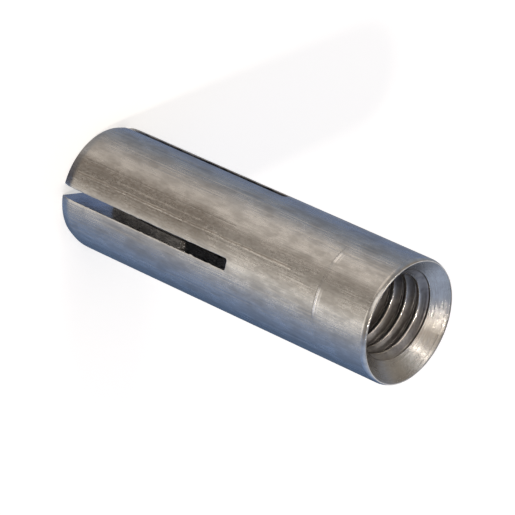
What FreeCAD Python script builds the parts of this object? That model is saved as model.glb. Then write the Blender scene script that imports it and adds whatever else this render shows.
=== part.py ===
# Drop-in anchor for an M6 bolt in an 8 mm hole: a sawn steel sleeve and its expander plug.
#
# The anchor stands on its slotted end. +Z runs along its axis to the threaded mouth, the
# origin is the middle of the slotted end, and the first saw cut lies in the YZ plane.
# Sizes are in millimetres and angles in degrees.
import FreeCAD, Part
import Sketcher
import math
import os

# Sizes that can be set by themselves
SIZES = (
    ("sleeve_diameter", 7.95, "outside of the sleeve"),
    ("sleeve_length", 25.0, "slotted end to mouth"),
    ("end_bevel_width", 0.24, "lead-in bevel of the slotted end, across"),
    ("end_bevel_height", 0.65, "the same bevel, along the axis"),
    ("mouth_round_width", 0.10, "rounded outer edge of the mouth, across"),
    ("mouth_round_height", 0.36, "the same edge, along the axis"),
    ("mouth_land_width", 0.05, "flat ring from that edge to the countersink"),
    ("countersink_angle", 90.0, "included angle of the mouth's countersink"),
    ("thread_core_diameter", 5.0, "hole that the M6 thread is tapped in"),
    ("thread_hole_depth", 12.0, "mouth to the end of that hole"),
    ("shoulder_angle", 118.0, "drill point left where the hole narrows"),
    ("plug_bore_diameter", 4.66, "plain bore that the plug starts in"),
    ("taper_length", 4.9, "end hole to plain bore"),
    ("end_hole_diameter", 3.4, "hole at the slotted end"),
    ("end_hole_depth", 1.8, "straight part of that hole"),
    ("slot_width", 0.75, "thickness of the saw"),
    ("slot_depth", 13.85, "slotted end to the slot's root, at the outside"),
    ("slot_crossing_angle", 97.5, "first saw cut to the second, clockwise seen from the mouth"),
    ("slot_corner_radius", 0.09, "worn corners of the saw"),
    ("saw_diameter", 50.0, "disc that leaves its arc at the slot's root"),
    ("plug_clearance", 0.04, "plug to plain bore and to taper, on the radius"),
    ("plug_setback", 0.45, "nose of the plug above the foot of the taper"),
    ("plug_shank_length", 2.3, "straight part of the plug, above its cone"),
    ("plug_rear_chamfer", 0.20, "edge of the face that the setting punch strikes"),
    ("plug_nose_chamfer", 0.25, "edge of the plug's nose"),
)

# Places that follow from those sizes
PLACES = (
    ("sleeve_radius", "sleeve_diameter / 2"),
    ("bevel_foot_radius", "sleeve_radius - end_bevel_width"),
    ("mouth_round_start", "sleeve_length - mouth_round_height"),
    ("mouth_face_radius", "sleeve_radius - mouth_round_width"),
    ("mouth_round_radius", "(mouth_round_width ^ 2 + mouth_round_height ^ 2) / (2 * mouth_round_width)"),
    ("mouth_round_centre", "sleeve_radius - mouth_round_radius"),
    ("countersink_radius", "mouth_face_radius - mouth_land_width"),
    ("thread_core_radius", "thread_core_diameter / 2"),
    ("countersink_depth", "(countersink_radius - thread_core_radius) / tan(countersink_angle / 2)"),
    ("countersink_foot", "sleeve_length - countersink_depth"),
    ("shoulder_top", "sleeve_length - thread_hole_depth"),
    ("plug_bore_radius", "plug_bore_diameter / 2"),
    ("shoulder_height", "(thread_core_radius - plug_bore_radius) / tan(shoulder_angle / 2)"),
    ("shoulder_foot", "shoulder_top - shoulder_height"),
    ("taper_top", "end_hole_depth + taper_length"),
    ("end_hole_radius", "end_hole_diameter / 2"),
    ("taper_slope", "(plug_bore_radius - end_hole_radius) / taper_length"),
    ("saw_radius", "saw_diameter / 2"),
    ("saw_centre_height", "slot_depth - sqrt(saw_radius ^ 2 - sleeve_radius ^ 2)"),
    ("saw_half_width", "slot_width / 2"),
    ("saw_rim_half_width", "saw_half_width - slot_corner_radius"),
    ("saw_corner_start", "saw_radius - slot_corner_radius"),
    ("plug_nose_height", "end_hole_depth + plug_setback"),
    ("plug_radius", "plug_bore_radius - plug_clearance"),
    ("plug_nose_radius", "end_hole_radius + plug_setback * taper_slope - plug_clearance"),
    ("plug_cone_length", "taper_length - plug_setback"),
    ("plug_length", "plug_cone_length + plug_shank_length"),
)

doc = FreeCAD.newDocument("drop_in_anchor")
sheet = doc.addObject("Spreadsheet::Sheet", "Sizes")


def fill_sheet():
    """Write the sizes as plain numbers and, under them, the places as formulas."""
    rows = [(alias, str(number), note) for alias, number, note in SIZES]
    rows += [(alias, "=" + formula, "follows from the sizes") for alias, formula in PLACES]
    for line, (alias, content, note) in enumerate(rows, start=1):
        sheet.set("A%d" % line, alias)
        sheet.set("B%d" % line, content)
        sheet.setAlias("B%d" % line, alias)
        sheet.set("C%d" % line, note)
    doc.recompute()


def size(alias):
    """Number in the cell with this alias."""
    return float(getattr(sheet, alias))


def bind(thing, target, alias):
    """Tie a property, or a named constraint of a sketch, to a cell."""
    thing.setExpression(target, "Sizes." + alias)


def new_body(label):
    """Empty body of one piece; its label names the piece."""
    body = doc.addObject("PartDesign::Body", label)
    body.Label = label
    return body


def new_sketch(body, name, plane_role):
    """Sketch on one of the body's own origin planes."""
    sketch = body.newObject("Sketcher::SketchObject", name)
    planes = [f for f in body.Origin.OriginFeatures if f.Role == plane_role]
    sketch.AttachmentSupport = [(planes[0], "")]
    sketch.MapMode = "FlatFace"
    return sketch


class Mark:
    """Numbers by which a sketch knows its origin, its two axes, and the ends of a side."""

    ORIGIN = ACROSS_AXIS = -1
    UP_AXIS = -2
    START = 1
    END = 2


def fix_distance(sketch, kind, side, alias):
    """Set how far a side's start lies from the sketch's origin, bound to a cell.

    An alias with a minus sign in front is measured the other way.
    """
    cell = alias.lstrip("-")
    ends = [(Mark.ORIGIN, Mark.START), (side, Mark.START)]
    if alias.startswith("-"):
        ends.reverse()
    ends = ends[0] + ends[1]
    number = sketch.addConstraint(Sketcher.Constraint(kind, *ends, size(cell)))
    name = "%s_%d_%s" % (cell, side, kind[-1])
    sketch.renameConstraint(number, name)
    bind(sketch, "Constraints." + name, cell)


def coordinate(alias):
    """Where a corner lies along one axis: on the axis (None), or a cell's number, signed."""
    if alias is None:
        return 0.0
    return -size(alias.lstrip("-")) if alias.startswith("-") else size(alias)


def draw_outline(sketch, corners, round_sides=()):
    """Closed outline through the corners, run anticlockwise.

    Each corner is (across, up), each an alias or None for on the axis. round_sides maps a
    side's number to (centre across, centre up, radius); such a side bulges outwards.
    """
    rounds = dict(round_sides)
    points = [FreeCAD.Vector(coordinate(x), coordinate(y), 0) for x, y in corners]
    for side, start in enumerate(points):
        end = points[(side + 1) % len(points)]
        if side in rounds:
            centre_x, centre_y, radius = rounds[side]
            centre = FreeCAD.Vector(coordinate(centre_x), coordinate(centre_y), 0)
            circle = Part.Circle(centre, FreeCAD.Vector(0, 0, 1), size(radius))
            angles = [math.atan2(p.y - centre.y, p.x - centre.x) for p in (start, end)]
            sketch.addGeometry(Part.ArcOfCircle(circle, *angles))
        else:
            sketch.addGeometry(Part.LineSegment(start, end))
    for side, (across, up) in enumerate(corners):
        following = (side + 1) % len(corners)
        joined = ("Coincident", side, Mark.END, following, Mark.START)
        sketch.addConstraint(Sketcher.Constraint(*joined))
        if across is None:
            on_axis = ("PointOnObject", side, Mark.START, Mark.UP_AXIS)
            sketch.addConstraint(Sketcher.Constraint(*on_axis))
        else:
            fix_distance(sketch, "DistanceX", side, across)
        if up is None:
            on_axis = ("PointOnObject", side, Mark.START, Mark.ACROSS_AXIS)
            sketch.addConstraint(Sketcher.Constraint(*on_axis))
        else:
            fix_distance(sketch, "DistanceY", side, up)
    for side, (_, _, radius) in rounds.items():
        number = sketch.addConstraint(Sketcher.Constraint("Radius", side, size(radius)))
        name = "%s_%d" % (radius, side)
        sketch.renameConstraint(number, name)
        bind(sketch, "Constraints." + name, radius)
    doc.recompute()


def turn(body, kind, name, sketch, axis="V_Axis"):
    """Revolution or Groove of a whole turn about one of the sketch's own axes."""
    feature = body.newObject("PartDesign::" + kind, name)
    feature.Profile = sketch
    feature.ReferenceAxis = (sketch, [axis])
    feature.Angle = 360
    doc.recompute()
    return feature


def rings(feature):
    """Names of the feature's round edges, from the lowest to the highest."""
    found = []
    for number, edge in enumerate(feature.Shape.Edges, start=1):
        if isinstance(edge.Curve, Part.Circle):
            found.append((edge.Curve.Center.z, "Edge%d" % number))
    return [name for _, name in sorted(found)]


def chamfer(body, name, base, ring, alias):
    """Equal chamfer of one round edge of the feature before it."""
    feature = body.newObject("PartDesign::Chamfer", name)
    feature.Base = (base, [ring])
    bind(feature, "Size", alias)
    doc.recompute()
    return feature


def make_sleeve():
    """Turned sleeve: blank, stepped hole with its taper, and two crossing saw cuts."""
    body = new_body("sleeve")

    blank = new_sketch(body, "blank_outline", "XZ_Plane")
    draw_outline(
        blank,
        (
            (None, None),
            ("bevel_foot_radius", None),
            ("sleeve_radius", "end_bevel_height"),
            ("sleeve_radius", "mouth_round_start"),
            ("mouth_face_radius", "sleeve_length"),
            (None, "sleeve_length"),
        ),
        {3: ("mouth_round_centre", "mouth_round_start", "mouth_round_radius")},
    )
    turn(body, "Revolution", "turned_blank", blank)

    hole = new_sketch(body, "hole_outline", "XZ_Plane")
    draw_outline(
        hole,
        (
            (None, None),
            ("end_hole_radius", None),
            ("end_hole_radius", "end_hole_depth"),
            ("plug_bore_radius", "taper_top"),
            ("plug_bore_radius", "shoulder_foot"),
            ("thread_core_radius", "shoulder_top"),
            ("thread_core_radius", "countersink_foot"),
            ("countersink_radius", "sleeve_length"),
            (None, "sleeve_length"),
        ),
    )
    turn(body, "Groove", "stepped_hole", hole)

    saw = new_sketch(body, "saw_section", "XZ_Plane")
    bind(saw, "AttachmentOffset.Base.y", "saw_centre_height")
    draw_outline(
        saw,
        (
            ("-saw_half_width", None),
            ("saw_half_width", None),
            ("saw_half_width", "saw_corner_start"),
            ("saw_rim_half_width", "saw_radius"),
            ("-saw_rim_half_width", "saw_radius"),
            ("-saw_half_width", "saw_corner_start"),
        ),
        {
            2: ("saw_rim_half_width", "saw_corner_start", "slot_corner_radius"),
            4: ("-saw_rim_half_width", "saw_corner_start", "slot_corner_radius"),
        },
    )
    saw_cut = turn(body, "Groove", "saw_cut", saw, "H_Axis")

    slots = body.newObject("PartDesign::PolarPattern", "crossing_cuts")
    slots.Originals = [saw_cut]
    slots.Axis = (blank, ["V_Axis"])
    slots.Mode = "Extent"
    slots.Occurrences = 2
    slots.Reversed = True
    bind(slots, "Angle", "slot_crossing_angle")
    body.Tip = slots
    doc.recompute()

    return body


def make_plug():
    """Expander plug: a straight shank over a cone that matches the sleeve's taper."""
    body = new_body("expander_plug")

    outline = new_sketch(body, "plug_outline", "XZ_Plane")
    draw_outline(
        outline,
        (
            (None, None),
            ("plug_nose_radius", None),
            ("plug_radius", "plug_cone_length"),
            ("plug_radius", "plug_length"),
            (None, "plug_length"),
        ),
    )
    turned = turn(body, "Revolution", "turned_plug", outline)
    struck = chamfer(body, "rear_edge", turned, rings(turned)[-1], "plug_rear_chamfer")
    chamfer(body, "nose_edge", struck, rings(struck)[0], "plug_nose_chamfer")

    bind(body, "Placement.Base.z", "plug_nose_height")
    doc.recompute()
    return body


def check_document(pieces):
    """Stop if a feature failed, cut nothing, or left a piece that isn't one valid solid."""
    for thing in doc.Objects:
        if {"Invalid", "Error"} & set(thing.State):
            raise RuntimeError("%s failed: %s" % (thing.Label, thing.State))
    for piece in pieces:
        shape = piece.Shape
        if shape.isNull() or not shape.isValid() or len(shape.Solids) != 1:
            raise RuntimeError("%s is not one valid solid" % piece.Label)
    steps = ("turned_blank", "stepped_hole", "saw_cut", "crossing_cuts")
    volumes = [doc.getObject(name).Shape.Volume for name in steps]
    if any(after >= before for before, after in zip(volumes, volumes[1:])):
        raise RuntimeError("a cut of the sleeve removed nothing: %s" % volumes)


fill_sheet()
pieces = (make_sleeve(), make_plug())
doc.recompute()
check_document(pieces)
os.makedirs("parts", exist_ok=True)
for piece in pieces:
    piece.Shape.exportStep("parts/%s.step" % piece.Label)
    print(piece.Label, "%.3f mm3" % piece.Shape.Volume, piece.Shape.optimalBoundingBox())
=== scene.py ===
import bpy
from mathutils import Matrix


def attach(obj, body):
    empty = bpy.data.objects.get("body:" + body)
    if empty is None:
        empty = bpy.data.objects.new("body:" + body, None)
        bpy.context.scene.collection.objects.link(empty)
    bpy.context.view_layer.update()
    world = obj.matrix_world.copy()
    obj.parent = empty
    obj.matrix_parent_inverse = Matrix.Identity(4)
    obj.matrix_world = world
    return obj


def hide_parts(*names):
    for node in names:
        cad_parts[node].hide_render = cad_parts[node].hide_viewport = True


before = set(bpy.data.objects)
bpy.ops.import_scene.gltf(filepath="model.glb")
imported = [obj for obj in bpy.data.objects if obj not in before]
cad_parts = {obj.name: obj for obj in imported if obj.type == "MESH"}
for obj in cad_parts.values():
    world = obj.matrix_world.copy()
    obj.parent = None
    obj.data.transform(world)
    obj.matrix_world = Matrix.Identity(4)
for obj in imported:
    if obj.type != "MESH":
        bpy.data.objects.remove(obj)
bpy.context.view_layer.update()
"""Dressed model of a drop-in anchor: a sawn, threaded steel sleeve with its expander plug.

Sizes in the classes are millimetres and degrees, and meshes are written in metres. The anchor
stands on its slotted end, as the CAD model does, and +Z runs up to the threaded mouth. An angle
round the sleeve is counted anticlockwise from -Y, seen from the mouth.
"""
import logging
import math
from dataclasses import dataclass
from enum import IntEnum

import bmesh
import bpy
import numpy as np
from mathutils import Matrix, Vector

Array = np.ndarray
Socket = bpy.types.NodeSocket
Colour = tuple[float, float, float]
MILLIMETRE = 0.001
WHITE: Colour = (1.0, 1.0, 1.0)
WAVE_COUNT = 12
WAVE_SPREAD = 3.5
LINE_SQUEEZE = 0.018
PATCH_SQUEEZE = 0.45
LOG = logging.getLogger("anchor")


class Skin(IntEnum):
    """Finish of a face, in the order of the sleeve's material slots."""

    DRAWN = 0
    TURNED = 1
    THREADED = 2
    SAWN = 3
    CUT_END = 4
    RUBBED = 5


class Zone(IntEnum):
    """Side of the sleeve that a face belongs to; edges between two zones are rounded."""

    TURNED_BODY = 0
    SAW_CUT = 1
    END_FACE = 2


@dataclass(frozen=True)
class Grid:
    """Grid of points, rows by columns by three, with the finish and zone of its faces.

    The finish is one for all faces, or an array with one for each face.
    """

    points: Array
    skin: Skin | Array
    zone: Zone


def soft_ramp(value: Array, softness: float) -> Array:
    """Ramp that is zero below zero and the value above it: half of x + sqrt(x^2 + softness^2).

    Args:
        value: Where the ramp is read.
        softness: Width over which the bend is rounded.

    Returns:
        The ramp's height at each value.
    """
    return (value + np.sqrt(value * value + softness * softness)) / 2.0


def smooth_step(value: Array) -> Array:
    """Cubic step 3x^2 - 2x^3 of the value held between 0 and 1."""
    held = np.clip(value, 0.0, 1.0)
    return held * held * (3.0 - 2.0 * held)


def bell(value: Array, width: float) -> Array:
    """Bell curve exp(-(x / width)^2)."""
    return np.exp(-(value / width) ** 2)


def ripple(along: Array, seed: int, coarse: float, fine: float) -> Array:
    """Even roughness along a line, a sum of seeded sines between two wavelengths.

    Args:
        along: Distance along the line.
        seed: Number that fixes the sines.
        coarse: Longest wavelength.
        fine: Shortest wavelength.

    Returns:
        Roughness of about -1 to 1 at each distance.
    """
    random = np.random.default_rng(seed)
    lengths = np.geomspace(coarse, fine, WAVE_COUNT) * random.uniform(0.85, 1.15, WAVE_COUNT)
    phases = random.uniform(0.0, 2.0 * math.pi, WAVE_COUNT)
    waves = np.sin(2.0 * math.pi * along[..., None] / lengths + phases)
    return waves.sum(axis=-1) / WAVE_SPREAD


def towards(azimuth: float, elevation: float = 0.0) -> tuple[float, float, float]:
    """Unit vector (cos e sin a, -cos e cos a, sin e) at an azimuth and elevation in degrees."""
    side, up = math.radians(azimuth), math.radians(elevation)
    return (math.cos(up) * math.sin(side), -math.cos(up) * math.cos(side), math.sin(up))


def turned_points(angles: Array, radius: Array | float, height: Array | float) -> Array:
    """Points (r sin a, -r cos a, z) for grids of angle, radius and height."""
    angles, radius, height = np.broadcast_arrays(angles, radius, height)
    return np.stack([radius * np.sin(angles), -radius * np.cos(angles), height], axis=-1)


def quads_of(grid: Grid, first: int) -> Array:
    """Corner numbers of a grid's faces.

    Args:
        grid: Grid of points.
        first: Number of its first point.

    Returns:
        Faces by four corners, in the order of the grid's rows.
    """
    rows, columns = grid.points.shape[:2]
    numbers = first + np.arange(rows * columns).reshape(rows, columns)
    corners = (numbers[:-1, :-1], numbers[:-1, 1:], numbers[1:, 1:], numbers[1:, :-1])
    return np.stack(corners, axis=-1).reshape(-1, 4)


@dataclass(frozen=True)
class Welder:
    """Joins grids into one closed mesh and rounds the edges between its zones."""

    edge_radius: float
    reach: float = 0.0004

    def weld(self, name: str, grids: list[Grid]) -> bpy.types.Mesh:
        """Merge the grids' shared borders, turn the faces outwards and round the edges.

        Args:
            name: Name of the mesh.
            grids: Grids in millimetres whose borders meet.

        Returns:
            The mesh in metres.
        """
        firsts = np.cumsum([0] + [grid.points.shape[0] * grid.points.shape[1] for grid in grids])
        faces = [quads_of(grid, first) for grid, first in zip(grids, firsts)]
        mesh = bpy.data.meshes.new(name)
        points = np.concatenate([grid.points.reshape(-1, 3) for grid in grids])
        mesh.from_pydata(points, [], np.concatenate(faces))
        skins = np.concatenate([np.broadcast_to(np.ravel(grid.skin), len(part))
                                for grid, part in zip(grids, faces)])
        zones = np.repeat([int(grid.zone) for grid in grids], [len(part) for part in faces])
        mesh.polygons.foreach_set("material_index", skins.astype(np.int32))
        mesh.attributes.new("zone", "INT", "FACE").data.foreach_set("value", zones.astype(np.int32))
        body = bmesh.new()
        body.from_mesh(mesh)
        bmesh.ops.remove_doubles(body, verts=body.verts, dist=self.reach)
        bmesh.ops.recalc_face_normals(body, faces=body.faces)
        body.to_mesh(mesh)
        if self.edge_radius > 0.0:
            body.edges.ensure_lookup_table()
            edges = [body.edges[number] for number in self.borders(mesh)]
            bmesh.ops.bevel(body, geom=edges, offset=self.edge_radius, offset_type="OFFSET",
                            segments=2, profile=0.5, affect="EDGES", clamp_overlap=False,
                            material=int(Skin.RUBBED))
        bmesh.ops.scale(body, vec=Vector((MILLIMETRE,) * 3), verts=body.verts)
        for face in body.faces:
            face.smooth = True
        body.to_mesh(mesh)
        open_edges = sum(not edge.is_manifold for edge in body.edges)
        volume = body.calc_volume(signed=True) / MILLIMETRE ** 3
        LOG.info("%s: %d faces, %d open edges, %.2f mm3", name, len(body.faces), open_edges, volume)
        body.free()
        return mesh

    @staticmethod
    def borders(mesh: bpy.types.Mesh) -> Array:
        """Find the edges whose two faces lie in different zones.

        Args:
            mesh: Closed mesh whose faces carry their zone.

        Returns:
            The edges' numbers.
        """
        zones = np.zeros(len(mesh.polygons), dtype=np.int32)
        mesh.attributes["zone"].data.foreach_get("value", zones)
        totals = np.zeros(len(mesh.polygons), dtype=np.int32)
        mesh.polygons.foreach_get("loop_total", totals)
        edges = np.zeros(len(mesh.loops), dtype=np.int32)
        mesh.loops.foreach_get("edge_index", edges)
        lowest = np.full(len(mesh.edges), max(Zone) + 1)
        highest = np.full(len(mesh.edges), -1)
        np.minimum.at(lowest, edges, np.repeat(zones, totals))
        np.maximum.at(highest, edges, np.repeat(zones, totals))
        return np.flatnonzero(lowest != highest)


def make_piece(mesh: bpy.types.Mesh, node: str,
               materials: list[bpy.types.Material]) -> bpy.types.Object:
    """Put a mesh into the scene in place of a CAD node.

    Args:
        mesh: Finished mesh, whose name the piece takes.
        node: CAD node that the piece replaces.
        materials: Materials in the order of the faces' numbers.

    Returns:
        The new object, riding on the root body.
    """
    piece = bpy.data.objects.new(mesh.name, mesh)
    bpy.context.scene.collection.objects.link(piece)
    for material in materials:
        mesh.materials.append(material)
    even = piece.modifiers.new("even_shading", "WEIGHTED_NORMAL")
    even.mode = "FACE_AREA"
    even.weight = 50
    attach(piece, "root")
    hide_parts(node)
    return piece


@dataclass(frozen=True)
class ScribedRing:
    """Shallow ring that a tool scribed round the wall, and the painted highlight on its upper flank."""

    height: float
    depth: float
    width: float
    glint_height: float
    glint_share: float


SCRIBED_RINGS = (ScribedRing(20.88, 0.030, 0.05, 20.93, 1.0),
                 ScribedRing(21.10, 0.014, 0.04, 21.13, 0.35))


@dataclass(frozen=True)
class Burr:
    """Small tongue of steel that leans over a slot."""

    height: float
    size: float


@dataclass(frozen=True)
class SawCut:
    """One of the four slots: where it opens and how its edges came off the saw.

    The burrs are those of its second edge. Where none are named, they follow from the seed.
    """

    angle: float
    seed: int
    burrs: tuple[Burr, ...] = ()


@dataclass(frozen=True)
class EdgeWear:
    """How unevenly the saw left a slot's outer edges, and how far that reaches."""

    spread_across: float = 0.03
    spread_inward: float = 0.05
    foot: float = 0.2
    foot_fade: float = 0.5
    top: float = 13.72
    top_fade: float = 0.4
    unevenness: float = 0.008
    longest_wave: float = 4.0
    shortest_wave: float = 0.35
    burr_count: int = 6
    burr_heights: tuple[float, float] = (1.5, 13.0)
    burr_sizes: tuple[float, float] = (0.008, 0.03)
    burr_width: float = 0.13
    second_edge_seed: int = 100


@dataclass(frozen=True)
class RowPlan:
    """Rows of the sleeve's grids: their heights, their shares of the way, or how many there are."""

    bevel: tuple[float, ...] = (0.0, 0.06, 0.18, 0.3, 0.4, 0.49, 0.57, 0.65, 0.73, 0.81, 0.9, 1.0,
                                1.12, 1.3, 1.55)
    taper: int = 38
    plug_bore: int = 48
    below_root: tuple[float, ...] = (12.95, 13.0, 13.2, 13.4, 13.55, 13.65)
    through_wall: tuple[float, ...] = (0.0, 0.04, 0.12, 0.26, 0.42, 0.58, 0.74, 0.88, 0.96, 1.0)
    outer_lift: tuple[float, ...] = (0.0, 0.12, 0.3, 0.6, 1.0)
    inner_lift: tuple[float, ...] = (0.0, 0.2, 0.5, 1.0)
    below_rings: int = 14
    over_rings: int = 21
    above_rings: int = 9
    rim: int = 7
    land: int = 4
    cone: int = 12
    thread: tuple[float, ...] = (0.0, 0.035, 0.065, 0.10, 0.19, 0.27, 0.31, 0.345, 0.38, 0.43)


@dataclass
class Sleeve:
    """Slotted steel sleeve with its tapped mouth, stepped bore and taper."""

    radius: float = 3.975
    length: float = 25.0
    bevel_width: float = 0.24
    bevel_height: float = 0.65
    bevel_softness: float = 0.16
    rim_radius: float = 0.698
    rim_height: float = 0.36
    land_radius: float = 3.825
    core_radius: float = 2.5
    thread_pitch: float = 1.0
    thread_foot: float = 14.42
    thread_top: float = 24.42
    thread_run_in: float = 0.9
    flat_half: float = 0.149
    flank_end: float = 0.4375
    flank_angle: float = 60.0
    crest_softness: float = 0.08
    root_softness: float = 0.02
    cone_softness: float = 0.02
    cone_margin: float = 0.012
    rubbed_glint_low: float = 0.03
    rubbed_glint_high: float = 0.085
    rubbed_glint_from: float = 0.6
    shoulder_top: float = 13.0
    shoulder_foot: float = 12.898
    plug_bore_radius: float = 2.33
    taper_top: float = 6.7
    taper_foot: float = 1.8
    end_hole_radius: float = 1.7
    slot_half: float = 0.375
    slot_depth: float = 13.85
    saw_radius: float = 25.0
    saw_corner: float = 0.14
    leaf_columns: int = 32
    bunching: float = 0.28
    level_from: float = 14.6
    ring_low: float = 20.7
    ring_high: float = 21.3
    ring_margin: float = 0.1
    pressed_runs: tuple[tuple[float, float], ...] = ((-47.0, 9.0), (-4.0, 12.0), (150.0, 20.0))
    press_seed: int = 21
    press_base: float = 0.35
    press_swell: float = 0.16
    press_gain: float = 0.75
    press_most: float = 1.3
    rows: RowPlan = RowPlan()
    wear: EdgeWear = EdgeWear()
    cuts: tuple[SawCut, ...] = (
        SawCut(0.0, 3, (Burr(11.1, 0.075), Burr(9.5, 0.03), Burr(7.0, 0.035), Burr(5.8, 0.035),
                        Burr(2.4, 0.02), Burr(12.6, 0.02))),
        SawCut(82.5, 5), SawCut(180.0, 7), SawCut(262.5, 11))

    def __post_init__(self) -> None:
        """Work out the saw's height and lay out the columns round the sleeve.

        The columns come in blocks, a slot and then a leaf. Each column has the angles of the
        slots before and after it, its share of the way across the leaf between them, and its
        distance from the first slot's middle plane.
        """
        self.saw_centre = self.slot_depth - math.sqrt(self.saw_radius ** 2 - self.radius ** 2)
        corner = self.saw_corner * np.cos(np.radians([0.0, 30.0, 60.0, 90.0]))
        flat = self.slot_half - self.saw_corner
        half = np.concatenate([[0.0, 0.5 * flat], (flat + corner)[::-1]])
        across = np.concatenate([-half[:0:-1], half])
        even = np.linspace(0.0, 1.0, self.leaf_columns + 1)
        bunched = 0.5 - 0.5 * np.cos(np.pi * even)
        inner = ((1.0 - self.bunching) * even + self.bunching * bunched)[1:-1]
        angles = [math.radians(cut.angle) for cut in self.cuts] + [2.0 * math.pi]
        blocks = []
        for low, high in zip(angles[:-1], angles[1:]):
            blocks.append((low, high, 0.0, across if blocks else half))
            blocks.append((low, high, inner, self.slot_half))
        blocks.append((angles[-1], angles[-1], 0.0, -half[::-1]))
        columns = [np.stack(np.broadcast_arrays(*block)) for block in blocks]
        self.starts, self.ends, self.shares, self.offsets = np.concatenate(columns, axis=1)
        firsts = np.cumsum([0] + [part.shape[1] for part in columns])
        self.slots = [slice(first, last) for first, last in zip(firsts[0::2], firsts[1::2])]
        self.leaves = [slice(first - 1, last + 1) for first, last in zip(firsts[1::2], firsts[2::2])]

    def angles(self, radius: Array) -> Array:
        """Angle of every column at each row's radius.

        A column in a slot keeps its distance t from the slot's middle plane, so it stands at
        slot + asin(t / r). The columns between two slots divide the leaf in fixed shares.

        Args:
            radius: Radius of each row.

        Returns:
            Rows by columns of angles in radians.
        """
        row = np.asarray(radius, dtype=float)[:, None]
        edge = np.arcsin(self.slot_half / row)
        low = self.starts + np.arcsin(self.offsets / row)
        return (1.0 - self.shares) * low + self.shares * (self.ends - edge)

    def sawn_height(self, along: Array, across: Array | float) -> Array:
        """Height of a slot's root.

        The saw's rim has the radius R less its worn corner's fall, so a point a distance s along
        the cut from the axis lies at saw centre + sqrt((R - fall)^2 - s^2).

        Args:
            along: Distance from the sleeve's axis along the cut.
            across: Distance from the cut's middle plane.

        Returns:
            Heights of the same shape.
        """
        beyond = np.clip(np.abs(across) - (self.slot_half - self.saw_corner), 0.0, None)
        fall = self.saw_corner - np.sqrt(np.clip(self.saw_corner ** 2 - beyond ** 2, 0.0, None))
        return self.saw_centre + np.sqrt((self.saw_radius - fall) ** 2 - along ** 2)

    def root_row(self, radius: float) -> Array:
        """Heights of the slots' roots at one radius; a leaf's columns take its edge's height."""
        return self.sawn_height(np.sqrt(radius ** 2 - self.offsets ** 2), self.offsets)

    def outer_radius(self, height: Array) -> Array:
        """Radius of the outside up the leaves: the bevel's slope, then the drawn wall."""
        slope = self.bevel_width / self.bevel_height
        return self.radius - slope * soft_ramp(self.bevel_height - height, self.bevel_softness)

    def inner_radius(self, height: Array) -> Array:
        """Radius of the bore up the leaves: end hole, taper, plug bore, shoulder and core."""
        stops = [self.taper_foot, self.taper_top, self.shoulder_foot, self.shoulder_top]
        return np.interp(height, stops, [self.end_hole_radius, self.plug_bore_radius,
                                         self.plug_bore_radius, self.core_radius])

    def cone_radius(self, height: Array) -> Array:
        """Radius of the mouth's 45 degree cone, which falls by as much as the height does."""
        return self.land_radius - (self.length - height)

    def bore_radius(self, angles: Array, height: Array) -> Array:
        """Radius of the tapped bore and its countersink at each angle and height.

        The thread repeats every pitch along the helix. From a crest's middle outwards it is flat,
        then a flank, then the flat of its root, each bend a soft ramp. It fades in over its first
        turn, and the cone of the mouth cuts it off.

        Args:
            angles: Angles in radians.
            height: Heights.

        Returns:
            Radii of the same shape.
        """
        turns = (height - self.thread_foot) / self.thread_pitch - angles / (2.0 * math.pi)
        phase = np.abs(turns % 1.0 - 0.5)
        depth = soft_ramp(phase - self.flat_half, self.crest_softness)
        depth = depth - soft_ramp(phase - self.flank_end, self.root_softness)
        fade = smooth_step((height - self.thread_foot) / self.thread_run_in)
        tapped = self.core_radius + math.tan(math.radians(self.flank_angle)) * fade * depth
        cone = self.cone_radius(height)
        return cone + soft_ramp(tapped - cone, self.cone_softness)

    def wall_rows(self) -> tuple[Array, Array, Array, Array]:
        """Rows up a leaf, closer together at the bevel, with the root's edge on top.

        Returns:
            Heights outside and in the bore, then radii outside and in the bore.
        """
        rows = self.rows
        heights = np.concatenate([
            rows.bevel, np.linspace(self.taper_foot, self.taper_top, rows.taper),
            np.linspace(self.taper_top, self.shoulder_foot, rows.plug_bore)[1:], rows.below_root])
        edge = self.slots[1].start
        outer = np.append(heights, self.root_row(self.radius)[edge])
        inner = np.append(heights, self.root_row(self.core_radius)[edge])
        return outer, inner, self.outer_radius(outer), self.inner_radius(inner)

    def leaf_grids(self) -> list[Grid]:
        """Outside and bore of the four leaves, up to the slots' roots.

        Returns:
            Two grids for each leaf.
        """
        outer_z, inner_z, outer_r, inner_r = self.wall_rows()
        outside = turned_points(self.angles(outer_r), outer_r[:, None], outer_z[:, None])
        bore = turned_points(self.angles(inner_r), inner_r[:, None], inner_z[:, None])
        grids = []
        for leaf in self.leaves:
            grids.append(Grid(outside[:, leaf], Skin.DRAWN, Zone.TURNED_BODY))
            grids.append(Grid(bore[:, leaf], Skin.TURNED, Zone.TURNED_BODY))
        return grids

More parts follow.
